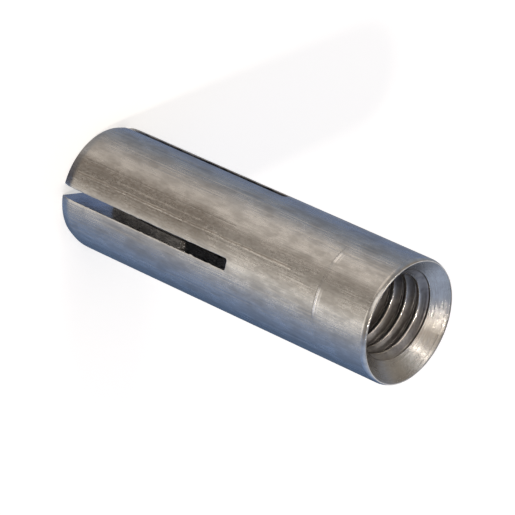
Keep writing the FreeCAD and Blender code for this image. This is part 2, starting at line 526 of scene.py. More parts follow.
    def cut_grids(self) -> list[Grid]:
        """Walls and roots of the four slots.

        A wall is ruled from the outside's edge to the bore's edge in the plane t = half the
        slot, and the root follows the saw's disc between the outside and the core.

        Returns:
            Three grids for each slot: two walls and the root.
        """
        outer_z, inner_z, outer_r, inner_r = self.wall_rows()
        half = self.slot_half
        outer_s = np.sqrt(outer_r ** 2 - half ** 2)
        inner_s = np.sqrt(inner_r ** 2 - half ** 2)
        share = np.array(self.rows.through_wall)
        along = outer_s[:, None] + (inner_s - outer_s)[:, None] * share
        height = outer_z[:, None] + (inner_z - outer_z)[:, None] * share
        height[-1] = self.sawn_height(along[-1], half)
        grids = []
        for number, cut in enumerate(self.cuts):
            for side in (-half, half):
                wall = self.in_slot(cut.angle, along, side, height)
                grids.append(Grid(wall, Skin.SAWN, Zone.SAW_CUT))
            across = self.offsets[self.slots[number]]
            if number == 0:
                across = np.concatenate([self.offsets[self.slots[-1]], across[1:]])
            outer = np.sqrt(self.radius ** 2 - across ** 2)
            inner = np.sqrt(self.core_radius ** 2 - across ** 2)
            root_s = outer + (inner - outer) * share[:, None]
            root = self.in_slot(cut.angle, root_s, across, self.sawn_height(root_s, across))
            grids.append(Grid(root, Skin.SAWN, Zone.SAW_CUT))
        return grids

    @staticmethod
    def in_slot(angle: float, along: Array, across: Array | float, height: Array) -> Array:
        """Points in the frame of a slot.

        Args:
            angle: Angle at which the slot opens.
            along: Distance from the axis along the slot.
            across: Distance from the slot's middle plane.
            height: Height.

        Returns:
            Points of the same shape.
        """
        along, across, height = np.broadcast_arrays(along, across, height)
        sine, cosine = math.sin(math.radians(angle)), math.cos(math.radians(angle))
        return np.stack([along * sine + across * cosine, across * sine - along * cosine, height], axis=-1)

    def end_grids(self) -> list[Grid]:
        """Flat faces of the leaves on the floor, from the bevel's foot to the end hole.

        Returns:
            One grid for each leaf.
        """
        outer = math.sqrt(self.outer_radius(np.array([0.0]))[0] ** 2 - self.slot_half ** 2)
        inner = math.sqrt(self.end_hole_radius ** 2 - self.slot_half ** 2)
        along = outer + (inner - outer) * np.array(self.rows.through_wall)
        radius = np.sqrt(along ** 2 + self.slot_half ** 2)
        face = turned_points(self.angles(radius), radius[:, None], 0.0)
        return [Grid(face[:, leaf], Skin.CUT_END, Zone.END_FACE) for leaf in self.leaves]

    def body_grids(self) -> list[Grid]:
        """Closed ring above the slots: its wall, rim, countersink, core and thread.

        Returns:
            The ring's grids, from the wall inwards and down the bore.
        """
        outer = self.angles(np.array([self.radius]))
        core = self.angles(np.array([self.core_radius]))
        return [self.wall_grid(outer), self.rim_grid(outer), self.cone_grid(), self.core_grid(core),
                *self.thread_grids(core)]

    def wall_grid(self, ring: Array) -> Grid:
        """Drawn wall from the slots' roots to the rim, with close rows over the scribed rings.

        Args:
            ring: Angles of the columns, as one row.

        Returns:
            The grid, whose lowest rows lead from the roots' arcs to a level ring.
        """
        rows, margin = self.rows, self.ring_margin
        rim_foot = self.length - self.rim_height
        root = self.root_row(self.radius)
        lift = np.array(rows.outer_lift)[:, None]
        levels = np.concatenate([
            np.linspace(self.level_from, self.ring_low - margin, rows.below_rings)[1:],
            np.linspace(self.ring_low, self.ring_high, rows.over_rings),
            np.linspace(self.ring_high + margin, rim_foot, rows.above_rings)])
        height = np.concatenate([root + lift * (self.level_from - root),
                                 np.repeat(levels[:, None], len(root), axis=1)])
        radius = self.radius - self.ring_depth(ring, height)
        return Grid(turned_points(ring, radius, height), Skin.DRAWN, Zone.TURNED_BODY)

    def rim_grid(self, ring: Array) -> Grid:
        """Rounded edge of the mouth, an arc of the rim's radius, and the flat land inside it.

        Args:
            ring: Angles of the columns, as one row.

        Returns:
            The grid.
        """
        turn = np.linspace(0.0, math.asin(self.rim_height / self.rim_radius), self.rows.rim)
        radius = self.radius - self.rim_radius + self.rim_radius * np.cos(turn)
        height = self.length - self.rim_height + self.rim_radius * np.sin(turn)
        land = np.linspace(radius[-1], self.land_radius, self.rows.land)[1:]
        radius = np.concatenate([radius, land])
        height = np.concatenate([height, np.full(len(land), self.length)])
        points = turned_points(ring, radius[:, None], height[:, None])
        return Grid(points, Skin.RUBBED, Zone.TURNED_BODY)

    def cone_grid(self) -> Grid:
        """Countersink down to the top of the thread's strip.

        Returns:
            The grid.
        """
        height = np.linspace(self.length, self.thread_top, self.rows.cone)
        layout = np.interp(height, [self.thread_top, self.length], [self.core_radius, self.radius])
        angles = self.angles(layout)
        radius = self.bore_radius(angles, height[:, None])
        radius[0] = self.land_radius
        return Grid(turned_points(angles, radius, height[:, None]), Skin.TURNED, Zone.TURNED_BODY)

    def core_grid(self, ring: Array) -> Grid:
        """Plain core from the slots' roots up to the thread.

        Args:
            ring: Angles of the columns, as one row.

        Returns:
            The grid.
        """
        root = self.root_row(self.core_radius)
        lift = np.array(self.rows.inner_lift)[:, None]
        height = root + lift * (self.thread_foot - root)
        return Grid(turned_points(ring, self.core_radius, height), Skin.TURNED, Zone.TURNED_BODY)

    def ring_depth(self, angles: Array, height: Array) -> Array:
        """Depth of the scribed rings, each a bell curve round its own height.

        The tool bit deeper in places, so the depth swells and fades with a seeded ripple and with
        a bell curve round the sleeve for each pressed run.

        Args:
            angles: Angles in radians.
            height: Heights.

        Returns:
            Depth below the wall.
        """
        around = 3.0 * np.cos(angles) + 2.0 * np.sin(angles)
        press = self.press_base + self.press_swell * ripple(around, self.press_seed, 5.0, 0.6)
        for middle, width in self.pressed_runs:
            apart = (np.degrees(angles) - middle + 180.0) % 360.0 - 180.0
            press = press + self.press_gain * bell(apart, width)
        depth = sum(ring.depth * bell(height - ring.height, ring.width) for ring in SCRIBED_RINGS)
        return depth * np.clip(press, 0.0, self.press_most)

    def thread_grids(self, ring: Array) -> list[Grid]:
        """Tapped bore as a strip wound up the helix, with a wedge above and below it.

        A row of the strip stands at foot + turns + pitch * angle / 360, so it runs along the
        thread. The wedges lead from a level ring to the first row and from the last row back.

        Args:
            ring: Angles of the columns, as one row.

        Returns:
            The three grids.
        """
        bends = np.array(self.rows.thread)
        shares = np.concatenate([bends, [0.5], 1.0 - bends[:0:-1]])
        whole = int(round(self.thread_top - self.thread_foot - self.thread_pitch))
        rise = self.thread_pitch * ring / (2.0 * math.pi)
        steps = np.append((np.arange(whole)[:, None] + shares).reshape(-1), float(whole))
        lower = np.append(shares, 1.0)[:, None] * rise
        upper = whole + rise + np.append(shares, 1.0)[:, None] * (self.thread_pitch - rise)
        grids = []
        for lift in (lower, steps[:, None] + rise, upper):
            height = self.thread_foot + lift
            radius = self.bore_radius(ring, height)
            radius = np.where(height <= self.thread_foot + 1e-9, self.core_radius, radius)
            points = turned_points(ring, radius, height)
            grids.append(Grid(points, self.thread_skin(radius, height), Zone.TURNED_BODY))
        return grids

    def thread_skin(self, radius: Array, height: Array) -> Array:
        """Finish of the faces of a thread's grid: turned on the cone, lighter rubbed steel with a painted
        glint on the crests' edges.

        Args:
            radius: Radius of each point.
            height: Height of each point.

        Returns:
            The number of each face's finish.
        """
        middle = (radius[:-1, :-1] + radius[1:, 1:]) / 2.0
        level = (height[:-1, :-1] + height[1:, 1:]) / 2.0
        # Crest edges get the lighter rubbed finish, which there is partly a painted glint.
        above = middle - self.core_radius
        on_edge = (above > self.rubbed_glint_low) & (above < self.rubbed_glint_high)
        on_edge = on_edge & (level > self.thread_foot + self.rubbed_glint_from)
        skin = np.where(on_edge, int(Skin.RUBBED), int(Skin.THREADED))
        return np.where(middle < self.cone_radius(level) + self.cone_margin, int(Skin.TURNED), skin)

    def worn(self, points: Array) -> Array:
        """Move the slots' outer edges as the saw tore them.

        At each edge a point shifts across the slot by a seeded ripple, and a few burrs lean over
        the opening. The shift falls off as a bell curve away from the edge, so points that two
        grids share move alike. No point ends outside the wall's radius.

        Args:
            points: Points of a grid.

        Returns:
            The points after the wear.
        """
        wear = self.wear
        moved = points.copy()
        x, y, z = np.moveaxis(points, -1, 0)
        inward = np.hypot(x, y) - self.outer_radius(z)
        ends = smooth_step((z - wear.foot) / wear.foot_fade)
        ends = ends * smooth_step((wear.top - z) / wear.top_fade)
        for cut in self.cuts:
            sine, cosine = math.sin(math.radians(cut.angle)), math.cos(math.radians(cut.angle))
            along = x * sine - y * cosine
            across = x * cosine + y * sine
            for side in (-1.0, 1.0):
                seed = cut.seed + (wear.second_edge_seed if side > 0 else 0)
                near = bell(across * side - self.slot_half, wear.spread_across)
                near = near * bell(inward, wear.spread_inward) * (along > 0.0) * ends
                shift = wear.unevenness * ripple(z, seed, wear.longest_wave, wear.shortest_wave)
                shift = shift - self.burr_reach(z, seed, cut.burrs if side > 0 else ())
                moved[..., 0] += near * shift * side * cosine
                moved[..., 1] += near * shift * side * sine
        reach = self.radius / np.maximum(np.hypot(moved[..., 0], moved[..., 1]), self.radius)
        moved[..., :2] *= reach[..., None]
        return moved

    def burr_reach(self, height: Array, seed: int, burrs: tuple[Burr, ...]) -> Array:
        """How far the burrs of one edge lean in, a bell curve along the edge for each.

        Args:
            height: Heights along the edge.
            seed: Number that fixes the burrs where none are given.
            burrs: Burrs of this edge.

        Returns:
            Reach over the slot at each height.
        """
        if burrs:
            places, sizes = np.array([(burr.height, burr.size) for burr in burrs]).T
        else:
            random = np.random.default_rng(seed)
            places = random.uniform(*self.wear.burr_heights, self.wear.burr_count)
            sizes = random.uniform(*self.wear.burr_sizes, self.wear.burr_count)
        return (sizes * bell(height[..., None] - places, self.wear.burr_width)).sum(axis=-1)

    def build(self, welder: Welder) -> bpy.types.Mesh:
        """Weld all grids into the sleeve's mesh.

        Args:
            welder: Welder that joins them and rounds the sawn edges.

        Returns:
            The mesh.
        """
        grids = self.leaf_grids() + self.cut_grids() + self.end_grids() + self.body_grids()
        worn = [Grid(self.worn(grid.points), grid.skin, grid.zone) for grid in grids]
        return welder.weld("sleeve_body", worn)


@dataclass
class ExpanderPlug:
    """Tapered steel plug that is driven down to spread the leaves."""

    nose_height: float = 2.25
    cone_top: float = 6.7
    rear_height: float = 9.0
    nose_radius: float = 1.7179
    shank_radius: float = 2.29
    nose_chamfer: float = 0.25
    rear_chamfer: float = 0.20
    punch_mark_radius: float = 0.32
    punch_mark_depth: float = 0.16
    columns: int = 96
    outline_steps: int = 60
    corner_steps: tuple[float, ...] = (-0.03, -0.012, 0.0, 0.012, 0.03)

    def profile(self) -> tuple[Array, Array]:
        """Turned outline from the nose's middle to the rear's, with close points at its corners.

        Returns:
            Radius and height of each point.
        """
        slope = (self.shank_radius - self.nose_radius) / (self.cone_top - self.nose_height)
        corners = np.array([
            (0.0, self.nose_height),
            (self.nose_radius - self.nose_chamfer, self.nose_height),
            (self.nose_radius + slope * self.nose_chamfer, self.nose_height + self.nose_chamfer),
            (self.shank_radius, self.cone_top),
            (self.shank_radius, self.rear_height - self.rear_chamfer),
            (self.shank_radius - self.rear_chamfer, self.rear_height),
            (self.punch_mark_radius, self.rear_height),
            (0.0, self.rear_height - self.punch_mark_depth),
        ])
        lengths = np.hypot(*np.diff(corners, axis=0).T)
        places = np.concatenate([[0.0], np.cumsum(lengths)])
        near = places[1:-1, None] + np.array(self.corner_steps)
        steps = np.concatenate([np.linspace(0.0, places[-1], self.outline_steps), near.reshape(-1)])
        steps = np.unique(np.round(steps, 6))
        return np.interp(steps, places, corners[:, 0]), np.interp(steps, places, corners[:, 1])

    def build(self, welder: Welder) -> bpy.types.Mesh:
        """Turn the outline round the axis.

        Args:
            welder: Welder that closes the turned grid.

        Returns:
            The mesh.
        """
        radius, height = self.profile()
        angles = np.linspace(0.0, 2.0 * math.pi, self.columns + 1)
        points = turned_points(angles, radius[:, None], height[:, None])
        return welder.weld("expander_plug_body", [Grid(points, Skin.DRAWN, Zone.TURNED_BODY)])


class Graph:
    """Node tree that is being wired up."""

    def __init__(self, tree: bpy.types.NodeTree) -> None:
        """Keep the tree whose nodes are added."""
        self.tree = tree

    @classmethod
    def fresh(cls, owner: bpy.types.Material | bpy.types.World) -> "Graph":
        """Start on the tree of a material or world, emptied first.

        Args:
            owner: Material or world to wire up.

        Returns:
            Graph on its tree.
        """
        owner.use_nodes = True
        owner.node_tree.nodes.clear()
        return cls(owner.node_tree)

    def node(self, kind: str, *inputs: object, **settings: object) -> bpy.types.Node:
        """Add a node.

        Args:
            kind: Blender's name of the node type.
            inputs: Values or sockets for its inputs in order, None to skip one.
            settings: Properties set before the inputs.

        Returns:
            The node.
        """
        node = self.tree.nodes.new(kind)
        for name, value in settings.items():
            setattr(node, name, value)
        for socket, value in zip(node.inputs, inputs):
            self.feed(socket, value)
        return node

    def feed(self, socket: Socket, value: object) -> None:
        """Link a socket to an input, or set the input's own value.

        Args:
            socket: Input to feed.
            value: Socket or plain value, or None to leave it.
        """
        if isinstance(value, bpy.types.NodeSocket):
            self.tree.links.new(value, socket)
        elif value is not None:
            socket.default_value = value

    def fill(self, node: bpy.types.Node, values: dict[str, object]) -> bpy.types.Node:
        """Feed a node's inputs by name.

        Args:
            node: Node to fill.
            values: Sockets or plain values by the inputs' names.

        Returns:
            The same node.
        """
        for name, value in values.items():
            self.feed(node.inputs[name], value)
        return node

    def calc(self, operation: str, *inputs: object, clamp: bool = False) -> Socket:
        """Output of a Math node."""
        return self.node("ShaderNodeMath", *inputs, operation=operation, use_clamp=clamp).outputs[0]

    def vector(self, operation: str, *inputs: object, output: int = 0) -> Socket:
        """Output of a Vector Math node."""
        return self.node("ShaderNodeVectorMath", *inputs, operation=operation).outputs[output]

    def scaled(self, place: object, factor: object) -> Socket:
        """Vector times a number."""
        return self.vector("SCALE", place, None, None, factor)

    def dot(self, first: object, second: object) -> Socket:
        """Dot product of two vectors."""
        return self.vector("DOT_PRODUCT", first, second, output=1)

    def level(self, place: Socket) -> Socket:
        """Place with its height left out."""
        return self.vector("MULTIPLY", place, (1.0, 1.0, 0.0))

    def height(self, place: Socket) -> Socket:
        """Height of a place."""
        return self.node("ShaderNodeSeparateXYZ", place).outputs[2]

    def noise(self, place: Socket, scale: float, detail: float, roughness: float) -> Socket:
        """Value of a noise texture, around a half."""
        return self.node("ShaderNodeTexNoise", place, None, scale, detail, roughness).outputs[0]

    def span(self, value: object, low: float, high: float) -> Socket:
        """Smooth step of a value, from 0 at one end of a range to 1 at the other."""
        return self.node("ShaderNodeMapRange", value, low, high, 0.0, 1.0,
                         interpolation_type="SMOOTHSTEP").outputs[0]

    def blend(self, share: object, first: object, second: object) -> Socket:
        """Mix of two colours.

        Args:
            share: Share of the second colour.
            first: First colour.
            second: Second colour.

        Returns:
            The mixed colour.
        """
        node = self.node("ShaderNodeMix", data_type="RGBA")
        for socket, value in zip((node.inputs[0], node.inputs[6], node.inputs[7]), (share, first, second)):
            self.feed(socket, value)
        return node.outputs[2]

    def cover(self, share: object, below: object, colour: Colour) -> Socket:
        """Colour below, covered in some share with a plain one."""
        return self.blend(share, below, rgba(colour))


def rgba(colour: Colour) -> tuple[float, float, float, float]:
    """Colour with a full alpha."""
    return (*colour, 1.0)


def cosine_of(angle: float) -> float:
    """Cosine of an angle in degrees."""
    return math.cos(math.radians(angle))


class Marks(IntEnum):
    """Direction of the fine marks that a process leaves in the steel."""

    LENGTHWISE = 0
    RINGS = 1
    SAW_ARCS = 2


class EffectGroup:
    """Shader node group with named inputs and outputs, filled by a subclass's wire method."""

    name = ""
    inputs: tuple[tuple[str, str, object], ...] = ()
    outputs: tuple[str, ...] = ()

    def tree(self) -> bpy.types.NodeTree:
        """Group's tree, made the first time that it is asked for.

        Returns:
            The tree, which all materials share.
        """
        if self.name in bpy.data.node_groups:
            return bpy.data.node_groups[self.name]
        tree = bpy.data.node_groups.new(self.name, "ShaderNodeTree")
        for label, kind, value in self.inputs:
            socket = tree.interface.new_socket(label, in_out="INPUT", socket_type=kind)
            if value is not None:
                socket.default_value = value
        for label in self.outputs:
            tree.interface.new_socket(label, in_out="OUTPUT", socket_type="NodeSocketFloat")
        graph = Graph(tree)
        entry = graph.node("NodeGroupInput")
        results = self.wire(graph, {socket.name: socket for socket in entry.outputs if socket.name})
        graph.fill(graph.node("NodeGroupOutput"), dict(zip(self.outputs, results)))
        return tree

    def wire(self, graph: Graph, given: dict[str, Socket]) -> list[Socket]:
        """Add the nodes between the inputs and the outputs.

        Args:
            graph: Graph of the group's tree.
            given: The group's inputs by name.

        Returns:
            Sockets for the group's outputs, in order.
        """
        raise NotImplementedError

    def put_in(self, graph: Graph, **values: object) -> list[Socket]:
        """Put the group into a graph.

        Args:
            graph: Graph that receives it.
            values: Inputs by name.

        Returns:
            The group's outputs in order.
        """
        return list(graph.fill(graph.node("ShaderNodeGroup", node_tree=self.tree()), values).outputs)


class Mottle(EffectGroup):
    """Cloudy patches and specks of handled steel, around a half."""

    name = "steel_mottle"
    inputs = (("Place", "NodeSocketVector", None), ("Scale", "NodeSocketFloat", 1.0))
    outputs = ("Patches", "Specks")

    def wire(self, graph: Graph, given: dict[str, Socket]) -> list[Socket]:
        """Two noises, one coarse and one fine, each spread to the whole range.

        Args:
            graph: Graph of the group's tree.
            given: The group's inputs by name.

        Returns:
            Patches and specks.
        """
        place = graph.scaled(given["Place"], given["Scale"])
        coarse = graph.noise(place, scale=0.75, detail=5.0, roughness=0.62)
        shifted = graph.vector("ADD", place, (7.3, 2.9, 5.1))
        fine = graph.noise(shifted, scale=4.5, detail=3.0, roughness=0.6)
        return [graph.span(coarse, 0.30, 0.70), graph.span(fine, 0.30, 0.72)]


class ToolMarks(EffectGroup):
    """Fine lines along one run of a tool, from the distance across the lines."""

    name = "tool_marks"
    inputs = (("Across", "NodeSocketVector", None), ("Lines", "NodeSocketFloat", 10.0))
    outputs = ("Height", "Bold")

    def wire(self, graph: Graph, given: dict[str, Socket]) -> list[Socket]:
        """Noise on the stretched place, and its rarer strong lines.

        Args:
            graph: Graph of the group's tree.
            given: The group's inputs by name.

        Returns:
            Height and bold lines.
        """
        place = graph.scaled(given["Across"], given["Lines"])
        lines = graph.noise(place, scale=1.0, detail=5.0, roughness=0.7)
        other = graph.vector("ADD", graph.scaled(place, 0.45), (3.1, 8.7, 1.3))
        rare = graph.noise(other, scale=1.0, detail=2.0, roughness=0.5)
        return [graph.span(lines, 0.25, 0.75), graph.span(rare, 0.60, 0.72)]


class ScratchLine(EffectGroup):
    """Long straight scratch up the wall at one angle, between two heights."""

    name = "long_scratch"
    inputs = (("Place", "NodeSocketVector", None), ("Tangent", "NodeSocketVector", None),
              ("Outward", "NodeSocketVector", None), ("Width", "NodeSocketFloat", 0.05),
              ("Low", "NodeSocketFloat", 1.0), ("High", "NodeSocketFloat", 18.0))
    outputs = ("Line", "Bank")

    def wire(self, graph: Graph, given: dict[str, Socket]) -> list[Socket]:
        """The line where the place along the tangent is zero, and a wider bank beside it.

        Args:
            graph: Graph of the group's tree.
            given: The group's inputs by name.

        Returns:
            Line and bank.
        """
        place = given["Place"]
        height = graph.height(place)
        waver = graph.noise(place, scale=0.5, detail=2.0, roughness=0.5)
        waver = graph.calc("MULTIPLY_ADD", waver, 0.16, -0.08)
        sideways = graph.calc("ADD", graph.dot(place, given["Tangent"]), waver)
        ends = graph.calc("MULTIPLY", graph.calc("GREATER_THAN", height, given["Low"]),
                          graph.calc("LESS_THAN", height, given["High"]))
        facing = graph.calc("GREATER_THAN", graph.dot(place, given["Outward"]), 0.0)
        ends = graph.calc("MULTIPLY", ends, facing)
        broken = graph.noise(place, scale=1.6, detail=3.0, roughness=0.6)
        ends = graph.calc("MULTIPLY", ends, graph.span(broken, 0.30, 0.46))
        near = graph.calc("DIVIDE", graph.calc("ABSOLUTE", sideways), given["Width"])
        beside = graph.calc("SUBTRACT", graph.calc("DIVIDE", sideways, given["Width"]), 1.6)
        line = graph.calc("SUBTRACT", 1.0, near, clamp=True)
        bank = graph.calc("SUBTRACT", 1.0, graph.calc("ABSOLUTE", beside), clamp=True)
        return [graph.calc("MULTIPLY", line, ends), graph.calc("MULTIPLY", bank, ends)]


class ShadeBand(EffectGroup):
    """Band of painted shade up the wall, darker round one direction and below one height."""

    name = "painted_shade_band"
    inputs = (("Place", "NodeSocketVector", None), ("Facing", "NodeSocketVector", None),
              ("Top", "NodeSocketFloat", 13.0))
    outputs = ("Stain",)
    full_angle = 7.0
    faded_angle = 19.0

    def wire(self, graph: Graph, given: dict[str, Socket]) -> list[Socket]:
        """Nearness to the direction, broken by noise and faded towards the top.

        Args:
            graph: Graph of the group's tree.
            given: The group's inputs by name.

        Returns:
            Painted shade.
        """
        place = given["Place"]
        near = graph.dot(graph.vector("NORMALIZE", graph.level(place)), given["Facing"])
        cloud = graph.noise(place, scale=0.9, detail=4.0, roughness=0.6)
        near = graph.calc("MULTIPLY_ADD", cloud, 0.03, graph.calc("SUBTRACT", near, 0.015))
        side = graph.span(near, cosine_of(self.faded_angle), cosine_of(self.full_angle))
        below = graph.calc("SUBTRACT", given["Top"], graph.height(place))
        return [graph.calc("MULTIPLY", side, graph.span(below, -1.5, 2.5))]


class RingGlint(EffectGroup):
    """Painted highlight on a scribed ring where it was cut deepest, in a few runs round the wall.

    A run has its angle, and the half-widths of its full and of its faded part.
    """

    name = "painted_ring_glint"
    inputs = (("Place", "NodeSocketVector", None), ("Height", "NodeSocketFloat", 20.9))
    outputs = ("Bright",)
    runs = ((-46.5, 3.0, 7.0), (-4.0, 6.0, 14.0), (118.0, 8.0, 20.0))

    def wire(self, graph: Graph, given: dict[str, Socket]) -> list[Socket]:
        """A thin band at the height, kept where the place faces one of the runs.

        Args:
            graph: Graph of the group's tree.
            given: The group's inputs by name.

        Returns:
            Bright band.
        """
        place = given["Place"]
        facing = graph.vector("NORMALIZE", graph.level(place))
        kept: object = 0.0
        for angle, full, faded in self.runs:
            run = graph.span(graph.dot(facing, towards(angle)), cosine_of(faded), cosine_of(full))
            kept = graph.calc("MAXIMUM", kept, run)
        away = graph.calc("ABSOLUTE", graph.calc("SUBTRACT", graph.height(place), given["Height"]))
        return [graph.calc("MULTIPLY", graph.span(away, 0.13, 0.07), kept)]


@dataclass(frozen=True)
class Scratch:
    """Long scratch up the wall: its angle, half-width, lower and upper end, and strength."""

    angle: float
    width: float
    low: float
    high: float
    strength: float = 0.7


@dataclass(frozen=True)
class Stain:
    """Band of painted shade up the wall: its angle, the height below which it lies, and how far it covers.
    """

    angle: float
    top: float
    share: float


@dataclass(frozen=True)
class WallMarks:
    """Scratches with painted shade in their grooves and painted highlight on their banks, bands of painted
    shade up the wall, and painted highlights on the scribed rings, laid over the drawn wall's plain
    finish.
    """

    scratches: tuple[Scratch, ...] = (
        Scratch(-21.4, 0.055, 0.8, 18.5, 1.0), Scratch(-34.6, 0.04, 1.0, 13.5),
        Scratch(-27.0, 0.025, 4.0, 11.0), Scratch(64.0, 0.05, 2.0, 19.0),
        Scratch(151.0, 0.05, 3.0, 21.0), Scratch(228.0, 0.04, 5.0, 24.0))
    # Bands of painted shade, darker lengthwise strips at set directions round the wall.
    shade_bands: tuple[Stain, ...] = (
        Stain(-24.5, 13.0, 0.70), Stain(-19.6, 30.0, 0.46), Stain(-53.0, 12.5, 0.22),
        Stain(17.0, 12.5, 0.16))
    # Painted shade in the scratches' grooves.
    groove_shade: Colour = (0.20, 0.16, 0.12)
    groove_share: float = 0.8
    groove_drop: float = 1.5
    bank_rise: float = 0.8
    # Unevenness of the painted shade bands.
    shade_least: float = 0.7
    shade_swell: float = 0.8
    # Painted highlight on the scratches' banks.
    bank: Colour = (0.88, 0.85, 0.80)
    # Colour of the painted shade bands.
    painted_shade: Colour = (0.26, 0.235, 0.21)
    # Painted highlight colour on the scribed rings.
    ring_glint: Colour = (1.0, 0.97, 0.93)

    def dress(self, graph: Graph, place: Socket, specks: Socket, colour: Socket,
              height: Socket) -> tuple[Socket, Socket]:
        """Lay the marks over a finish.

        Args:
            graph: Graph of the material.
            place: Object coordinates in millimetres.
            specks: Specks that make the bands of painted shade uneven.
            colour: Colour of the plain finish.
            height: Its height for the bump.

        Returns:
            Colour and height with the marks.
        """
        # Each scratch's groove is darkened with painted shade and its bank lightened with painted
        # highlight; the bump also sinks the groove and raises the bank.
        for mark in self.scratches:
            line, bank = ScratchLine().put_in(
                graph, Place=place, Tangent=towards(mark.angle + 90.0), Outward=towards(mark.angle),
                Width=mark.width, Low=mark.low, High=mark.high)
            share = graph.calc("MULTIPLY", line, self.groove_share * mark.strength)
            colour = graph.cover(share, colour, self.groove_shade)
            colour = graph.cover(graph.calc("MULTIPLY", bank, mark.strength), colour, self.bank)
            height = graph.calc("SUBTRACT", height, graph.calc("MULTIPLY", line, self.groove_drop))
            height = graph.calc("ADD", height, graph.calc("MULTIPLY", bank, self.bank_rise))
        # Painted shade: darker bands up the wall at set directions, made uneven by the specks.
        uneven = graph.calc("MULTIPLY_ADD", specks, self.shade_swell, self.shade_least)
        for mark in self.shade_bands:
            painted_shade, = ShadeBand().put_in(graph, Place=place, Top=mark.top, Facing=towards(mark.angle))
            share = graph.calc("MULTIPLY", uneven, mark.share)
            colour = graph.cover(graph.calc("MULTIPLY", painted_shade, share), colour, self.painted_shade)
        # Painted highlight: a lighter colour on each scribed ring's upper flank.
        for ring in SCRIBED_RINGS:
            ring_glint, = RingGlint().put_in(graph, Place=place, Height=ring.glint_height)
            share = graph.calc("MULTIPLY", ring_glint, ring.glint_share)
            colour = graph.cover(share, colour, self.ring_glint)
        return colour, height


@dataclass(frozen=True)
class SteelFinish:
    """Bare steel as one process left it.

    Colours go from the patches' dark to their light tone, and the film is what oil, dust and
    old coolant leave on it. Saw arcs have their centre on the axis, at the arcs' height.
    """

    name: str
    marks: Marks
    dark: Colour = (0.43, 0.415, 0.395)
    light: Colour = (0.56, 0.55, 0.53)
    film: Colour = (0.20, 0.16, 0.12)
    film_share: float = 0.15
    roughness: float = 0.32
    roughness_spread: float = 0.10
    lines_per_mm: float = 9.0
    line_depth: float = 0.25
    bump_distance: float = 0.02
    line_tone: float = 0.12
    patch_tone: float = 0.7
    speck_tone: float = 0.28
    patch_scale: float = 1.0
    arc_height: float = 0.0
    wall_marks: WallMarks | None = None

    def across(self, graph: Graph, place: Socket) -> Socket:
        """Place with the run of the marks squeezed, so that noise on it is drawn out into lines.

        Args:
            graph: Graph of the material.
            place: Object coordinates in millimetres.

        Returns:
            Vector for the marks' group.
        """
        if self.marks is Marks.LENGTHWISE:
            return graph.vector("MULTIPLY", place, (1.0, 1.0, LINE_SQUEEZE))
        if self.marks is Marks.SAW_ARCS:
            away = graph.vector("SUBTRACT", place, (0.0, 0.0, self.arc_height))
            length = graph.vector("LENGTH", away, output=1)
            return graph.node("ShaderNodeCombineXYZ", length, 0.0, 0.0).outputs[0]
        flat = graph.level(place)
        radius = graph.vector("LENGTH", flat, output=1)
        ring = graph.node("ShaderNodeCombineXYZ", radius, graph.height(place), 0.0).outputs[0]
        return graph.vector("ADD", ring, graph.scaled(flat, 0.02))

    def build(self) -> bpy.types.Material:
        """Wire up the finish: tone from lines, patches and specks, then film, marks and bump.

        Returns:
            Material with this finish.
        """
        material = bpy.data.materials.new(self.name)
        graph = Graph.fresh(material)
        coordinates = graph.node("ShaderNodeTexCoord").outputs["Object"]
        place = graph.scaled(coordinates, 1.0 / MILLIMETRE)
        drawn_out = (1.0, 1.0, PATCH_SQUEEZE if self.marks is Marks.LENGTHWISE else 1.0)
        patches, specks = Mottle().put_in(graph, Place=graph.vector("MULTIPLY", place, drawn_out),
                                          Scale=self.patch_scale)
        lines, bold = ToolMarks().put_in(graph, Across=self.across(graph, place), Lines=self.lines_per_mm)
        tone = graph.calc("MULTIPLY", patches, self.patch_tone)
        tone = graph.calc("MULTIPLY_ADD", lines, self.line_tone, tone)
        tone = graph.calc("MULTIPLY_ADD", specks, self.speck_tone, tone, clamp=True)
        colour = graph.blend(tone, rgba(self.dark), rgba(self.light))
        dirt = graph.calc("MULTIPLY", graph.span(patches, 0.55, 0.05), specks)
        dirt = graph.calc("ADD", graph.calc("MULTIPLY", dirt, self.film_share),
                          graph.calc("MULTIPLY", bold, 0.5 * self.film_share), clamp=True)
        colour = graph.cover(dirt, colour, self.film)
        rough = graph.calc("MULTIPLY_ADD", patches, -self.roughness_spread, self.roughness)
        rough = graph.calc("MULTIPLY_ADD", lines, 0.5 * self.roughness_spread, rough)
        height = graph.calc("MULTIPLY_ADD", specks, 0.15, graph.calc("SUBTRACT", lines, bold))
        if self.wall_marks is not None:
            colour, height = self.wall_marks.dress(graph, place, specks, colour, height)
        bump = graph.fill(graph.node("ShaderNodeBump"), {
            "Strength": self.line_depth, "Distance": self.bump_distance * MILLIMETRE, "Height": height})
        shader = graph.fill(graph.node("ShaderNodeBsdfPrincipled"), {
            "Metallic": 1.0, "Base Color": colour, "Roughness": rough, "Normal": bump.outputs[0]})
        graph.node("ShaderNodeOutputMaterial", shader.outputs[0])
        return material


@dataclass(frozen=True)
class RoomTone:
    """Soft patch of the room's light that the steel mirrors.

    The azimuth is counted from the camera's side, anticlockwise from above. The patch has its
    whole colour out to one angle from its middle, and fades until another.
    """

    azimuth: float
    elevation: float
    full: float
    fade: float
    colour: Colour


@dataclass(frozen=True)
class Softbox:
    """Square area lamp that faces the object, with its azimuth counted as a room tone's."""

    name: str
    azimuth: float
    elevation: float
    distance: float
    side: float
    power: float
    colour: Colour


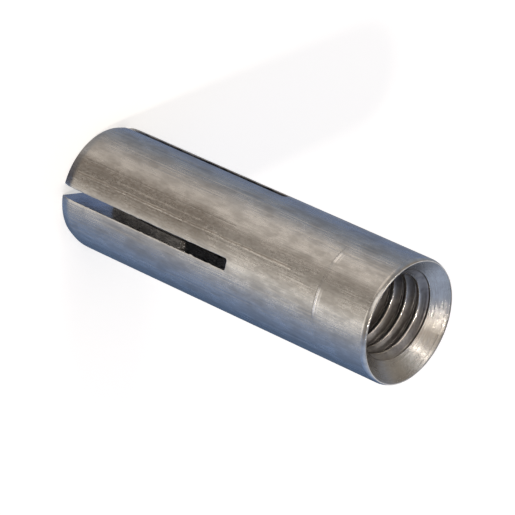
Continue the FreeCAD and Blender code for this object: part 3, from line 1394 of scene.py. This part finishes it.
@dataclass(frozen=True)
class Studio:
    """Camera, pale floor, room tones and lamps. A later tone covers an earlier one."""

    azimuth: float = -20.4
    elevation: float = 36.146
    roll: float = 114.49
    lens: float = 268.1
    distance: float = 231.32
    shift_right: float = 0.3263
    shift_up: float = -0.3594
    focus_height: float = 12.5
    floor_reach: float = 1.5
    floor_colour: Colour = (0.9, 0.9, 0.9)
    floor_glow: float = 0.5
    base: Colour = (0.29, 0.32, 0.39)
    tones: tuple[RoomTone, ...] = (
        RoomTone(0.0, -36.0, 55.0, 85.0, (0.31, 0.28, 0.25)),
        RoomTone(105.0, -36.0, 34.0, 62.0, (0.26, 0.36, 0.58)),
        RoomTone(152.0, -36.0, 8.0, 30.0, (0.08, 0.13, 0.23)),
        RoomTone(-115.0, -36.0, 34.0, 60.0, (0.30, 0.33, 0.39)),
        RoomTone(-139.0, -36.0, 4.0, 14.0, (0.17, 0.25, 0.46)),
        RoomTone(-46.0, -36.0, 14.0, 32.0, (0.90, 0.81, 0.73)),
        RoomTone(62.0, -36.0, 10.0, 32.0, (0.42, 0.45, 0.53)),
        RoomTone(29.0, -36.0, 7.0, 25.0, (1.38, 1.29, 1.18)),
        RoomTone(0.0, -90.0, 8.0, 26.0, (0.12, 0.14, 0.21)),
        RoomTone(-84.0, -65.0, 14.0, 26.0, (0.56, 0.54, 0.53)),
        RoomTone(-15.0, 50.0, 26.0, 48.0, (0.84, 0.71, 0.58)),
        RoomTone(-10.0, 12.0, 12.0, 28.0, (1.15, 1.10, 1.05)),
        RoomTone(100.0, 27.0, 30.0, 50.0, (0.50, 0.58, 0.75)),
        RoomTone(-97.0, 30.0, 20.0, 45.0, (0.34, 0.30, 0.25)),
        RoomTone(180.0, 36.0, 10.0, 24.0, (1.05, 1.04, 1.07)),
        RoomTone(0.0, 90.0, 20.0, 36.0, (0.06, 0.06, 0.065)),
        RoomTone(118.0, 60.0, 12.0, 26.0, (0.08, 0.08, 0.09)),
    )
    lamps: tuple[Softbox, ...] = (
        Softbox("key_softbox", 34.5, 47.0, 0.5, 0.03, 0.46, (1.0, 0.92, 0.82)),
        Softbox("second_softbox", -52.0, 47.0, 0.5, 0.10, 0.14, (1.0, 0.90, 0.78)),
        Softbox("fill_softbox", -70.0, 60.0, 0.6, 0.4, 0.35, (0.93, 0.96, 1.0)),
    )

    def build(self) -> None:
        """Set up everything round the object."""
        self.build_camera()
        self.build_room()
        self.build_floor()
        for lamp in self.lamps:
            self.build_lamp(lamp)
        bpy.context.scene.view_settings.view_transform = "Standard"

    def build_camera(self) -> None:
        """Place the camera by its azimuth, elevation, roll and distance.

        The level right-hand vector is turned by the roll towards the level up vector, and the
        camera stands back from the middle of the sleeve along its view.
        """
        roll = math.radians(self.roll)
        forward = -Vector(towards(self.azimuth, self.elevation))
        level = forward.cross(Vector((0.0, 0.0, 1.0))).normalized()
        above = level.cross(forward)
        right = math.cos(roll) * level + math.sin(roll) * above
        top = math.cos(roll) * above - math.sin(roll) * level
        place = Vector((0.0, 0.0, self.focus_height)) - self.distance * forward
        place += self.shift_right * right + self.shift_up * top
        data = bpy.data.cameras.new("camera")
        data.lens = self.lens
        data.sensor_width = 36.0
        data.clip_start = 0.005
        data.clip_end = 20.0
        camera = bpy.data.objects.new("camera", data)
        frame_axes = Matrix((right, top, -forward)).transposed()
        camera.matrix_world = Matrix.Translation(place * MILLIMETRE) @ frame_axes.to_4x4()
        bpy.context.scene.collection.objects.link(camera)
        bpy.context.scene.camera = camera

    def build_room(self) -> None:
        """World: white to camera and transmission rays, and the room's tones elsewhere."""
        world = bpy.data.worlds.new("studio_room")
        graph = Graph.fresh(world)
        view = graph.node("ShaderNodeTexCoord").outputs["Generated"]
        colour: object = rgba(self.base)
        for tone in self.tones:
            nearness = graph.dot(view, towards(self.azimuth + tone.azimuth, tone.elevation))
            share = graph.span(nearness, cosine_of(tone.fade), cosine_of(tone.full))
            colour = graph.cover(share, colour, tone.colour)
        path = graph.node("ShaderNodeLightPath").outputs
        seen = graph.calc("ADD", path["Is Camera Ray"], path["Is Transmission Ray"], clamp=True)
        colour = graph.cover(seen, colour, WHITE)
        backdrop = graph.node("ShaderNodeBackground", colour, 1.0)
        graph.node("ShaderNodeOutputWorld", backdrop.outputs[0])
        bpy.context.scene.world = world

    def build_floor(self) -> None:
        """Pale floor under the anchor. Its glow makes it white and leaves the soft shadow."""
        corners = [(x * self.floor_reach, y * self.floor_reach, 0.0)
                   for x, y in ((-1, -1), (1, -1), (1, 1), (-1, 1))]
        mesh = bpy.data.meshes.new("floor")
        mesh.from_pydata(corners, [], [(0, 1, 2, 3)])
        material = bpy.data.materials.new("pale_floor")
        graph = Graph.fresh(material)
        path = graph.node("ShaderNodeLightPath").outputs
        seen = graph.calc("ADD", path["Is Camera Ray"], path["Is Transmission Ray"])
        seen = graph.calc("ADD", seen, path["Is Glossy Ray"], clamp=True)
        shader = graph.fill(graph.node("ShaderNodeBsdfPrincipled"), {
            "Base Color": rgba(self.floor_colour), "Roughness": 0.8, "Specular IOR Level": 0.0,
            "Emission Color": rgba(WHITE),
            "Emission Strength": graph.calc("MULTIPLY", seen, self.floor_glow)})
        graph.node("ShaderNodeOutputMaterial", shader.outputs[0])
        mesh.materials.append(material)
        floor = bpy.data.objects.new("floor", mesh)
        floor.visible_glossy = False
        bpy.context.scene.collection.objects.link(floor)

    def build_lamp(self, lamp: Softbox) -> None:
        """Place one softbox on its side of the object, facing the middle of the sleeve.

        Args:
            lamp: Softbox to place.
        """
        data = bpy.data.lights.new(lamp.name, "AREA")
        data.shape = "SQUARE"
        data.size = lamp.side
        data.energy = lamp.power
        data.color = lamp.colour
        direction = Vector(towards(self.azimuth + lamp.azimuth, lamp.elevation))
        place = direction * lamp.distance + Vector((0.0, 0.0, self.focus_height * MILLIMETRE))
        turn = direction.to_track_quat("Z", "Y").to_matrix().to_4x4()
        softbox = bpy.data.objects.new(lamp.name, data)
        softbox.matrix_world = Matrix.Translation(place) @ turn
        bpy.context.scene.collection.objects.link(softbox)


def sleeve_finishes(saw_centre: float) -> dict[Skin, SteelFinish]:
    """Finish of each skin.

    Args:
        saw_centre: Height of the saw's axis, round which its marks run, read to a micron.

    Returns:
        The finishes in the order of the skins.
    """
    return {
        Skin.DRAWN: SteelFinish(
            "drawn_steel", Marks.LENGTHWISE, dark=(0.38, 0.37, 0.35), light=(0.61, 0.60, 0.58),
            patch_scale=1.9, line_tone=0.46, line_depth=0.44, wall_marks=WallMarks()),
        Skin.TURNED: SteelFinish(
            "turned_steel", Marks.RINGS, dark=(0.44, 0.43, 0.42), light=(0.58, 0.57, 0.55),
            film=(0.35, 0.32, 0.28), film_share=0.3, roughness=0.25, lines_per_mm=11.0,
            line_depth=0.45, line_tone=0.30, patch_scale=1.3),
        # Painted shade: the tapped bore's steel has much darker tones than the other finishes, standing
        # for the shade in the hollow thread; the film is oil.
        Skin.THREADED: SteelFinish(
            "tapped_steel_painted_shade", Marks.RINGS, dark=(0.20, 0.19, 0.20), light=(0.42, 0.40, 0.38),
            film=(0.11, 0.10, 0.10), film_share=0.6, roughness=0.40, lines_per_mm=7.0,
            patch_scale=1.6),
        Skin.SAWN: SteelFinish(
            "sawn_steel", Marks.SAW_ARCS, dark=(0.29, 0.30, 0.32), light=(0.46, 0.46, 0.48),
            film_share=0.4, roughness=0.28, lines_per_mm=6.0, line_depth=0.5,
            arc_height=round(saw_centre, 3)),
        Skin.CUT_END: SteelFinish(
            "cut_end_steel", Marks.RINGS, film_share=0.3, roughness=0.34, lines_per_mm=8.0),
        # Rubbed steel on the rounded edges and rim is wear; on the thread's crest edges its lighter colour
        # is also a painted glint.
        Skin.RUBBED: SteelFinish(
            "rubbed_steel_glint", Marks.LENGTHWISE, dark=(0.50, 0.49, 0.47), light=(0.70, 0.68, 0.65),
            film_share=0.1, roughness=0.17, patch_scale=2.5),
    }


def main() -> None:
    """Build the studio, the sleeve and the plug."""
    logging.basicConfig(level=logging.INFO, format="%(name)s: %(message)s")
    Studio().build()
    anchor = Sleeve()
    skins = [finish.build() for _, finish in sorted(sleeve_finishes(anchor.saw_centre).items())]
    sleeve = make_piece(anchor.build(Welder(0.022)), "sleeve", skins)
    LOG.info("%s dressed", sleeve.name)
    plug_skin = SteelFinish("plug_turned_steel", Marks.RINGS, dark=(0.28, 0.27, 0.26),
                            light=(0.40, 0.39, 0.37), roughness=0.36, film_share=0.3,
                            lines_per_mm=6.0).build()
    plug = make_piece(ExpanderPlug().build(Welder(0.0)), "expander_plug", [plug_skin])
    LOG.info("%s dressed", plug.name)


if __name__ == "__main__":
    main()
